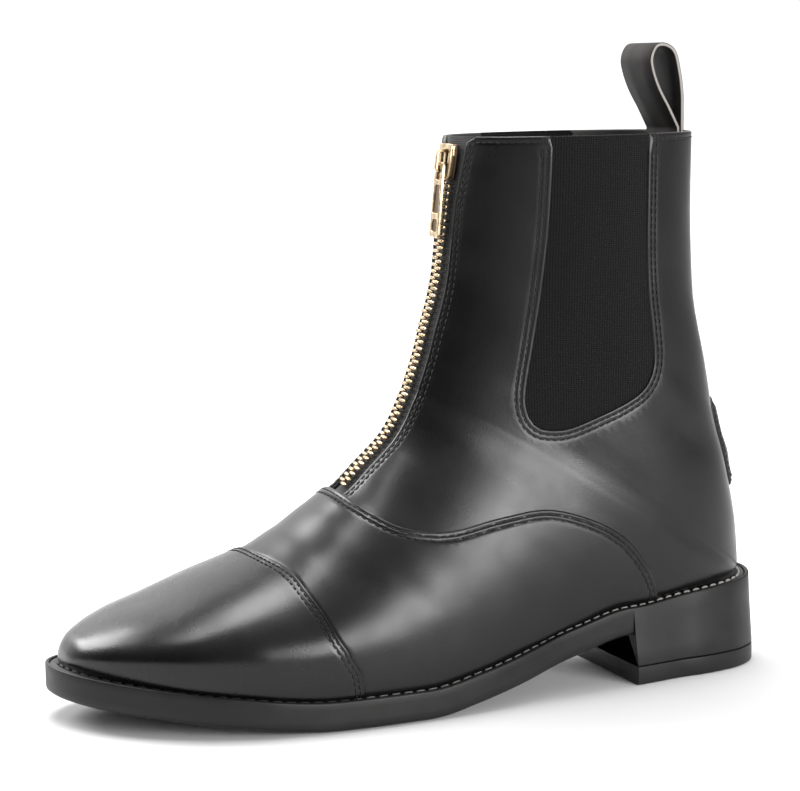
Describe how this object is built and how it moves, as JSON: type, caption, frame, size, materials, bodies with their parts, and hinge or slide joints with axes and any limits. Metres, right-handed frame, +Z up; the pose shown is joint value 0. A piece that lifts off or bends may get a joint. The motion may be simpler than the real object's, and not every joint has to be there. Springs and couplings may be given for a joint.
{
  "type": "paddock boot",
  "caption": "Ankle-high leather riding boot for the left foot, with a front zip, elastic side gores, stitched toe cap, low block heel and a pull loop at the back of the collar.",
  "frame": {"origin": "On the floor, under the middle of the whole boot's bounding box.", "axes": "+Z up from the floor, -Y towards the toe and +Y towards the heel, +X towards the outer side of this left boot."},
  "size_m": [0.1018, 0.2968, 0.2551],
  "materials": {
    "leather": "smooth, semi-gloss black",
    "cap_leather": "smooth, polished black",
    "elastic": "matt ribbed elastic",
    "sole_rubber": "satin dark grey-black",
    "welt": "satin, with grey stitches",
    "lining": "matt lining leather",
    "webbing": "plain woven strap",
    "zip_tape": "matt woven tape",
    "brass": "polished, slightly worn"
  },
  "bodies": {
    "boot": {"upper": "leather", "vamp": "leather", "toe_cap": "cap_leather", "spur_rest": "leather", "elastic_gore_outer": "elastic", "elastic_gore_inner": "elastic", "outsole": "sole_rubber", "heel_top_lift": "sole_rubber", "welt": "welt", "insole": "lining", "pull_loop": "webbing", "zip_tape": "zip_tape", "zip_chain": "brass", "zip_slider": "brass"},
    "pull_tab": {"zip_pull_tab": "brass"}
  },
  "joints": [
    {"name": "pull_tab_hinge", "type": "hinge", "parent": "boot", "child": "pull_tab", "pos_m": [-0.0025, 0.01354, 0.20935], "axis": [-1, 0, 0], "range_deg": [0, 165]}
  ]
}
